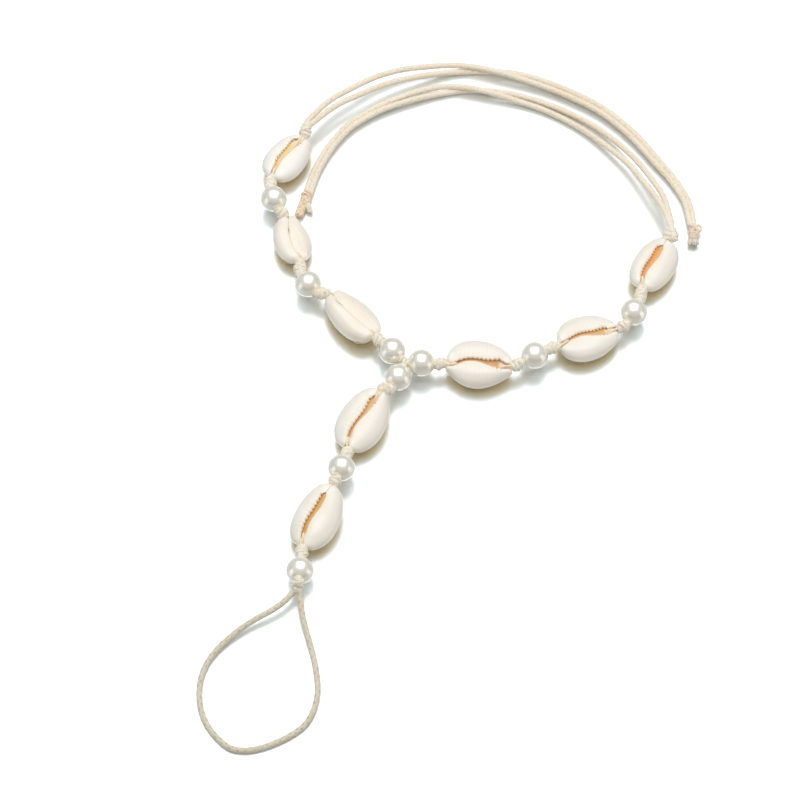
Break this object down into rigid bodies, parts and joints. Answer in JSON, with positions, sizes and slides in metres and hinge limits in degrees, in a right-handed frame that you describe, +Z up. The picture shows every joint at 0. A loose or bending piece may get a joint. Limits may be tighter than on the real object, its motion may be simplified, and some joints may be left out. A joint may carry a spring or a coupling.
{
  "type": "barefoot shell anklet",
  "caption": "Open barefoot anklet of knotted cream cord with whole cowrie shells and round pearls, a beaded drop down the foot, a plain toe loop and two pairs of tie ends",
  "frame": {"origin": "middle of the beaded part's footprint, on the surface that it lies on", "axes": "+X to the wearer's right tie, +Y from the toe loop to the ties, +Z up"},
  "size_m": [0.1482, 0.229, 0.0104],
  "materials": {
    "white_shell": "satin",
    "cream_shell": "satin",
    "pearl": "glossy",
    "knotted_cord": "matte",
    "tie_cord": "matte",
    "toe_cord": "matte"
  },
  "bodies": {
    "root": {"shell_a": "white_shell", "shell_b": "cream_shell", "shell_c": "cream_shell", "shell_d": "white_shell", "shell_e": "white_shell", "shell_f": "white_shell", "shell_g": "white_shell", "shell_h": "white_shell", "pearl_1": "pearl", "pearl_2": "pearl", "pearl_3": "pearl", "pearl_4": "pearl", "pearl_5": "pearl", "pearl_6": "pearl", "pearl_7": "pearl", "pearl_8": "pearl", "pearl_9": "pearl", "ankle_string": "knotted_cord", "drop_string": "knotted_cord", "toe_loop": "toe_cord", "left_tie_upper": "tie_cord", "left_tie_lower": "tie_cord", "right_tie_upper": "tie_cord", "right_tie_lower": "tie_cord", "left_end_knot": "knotted_cord", "right_end_knot": "knotted_cord"}
  },
  "joints": []
}
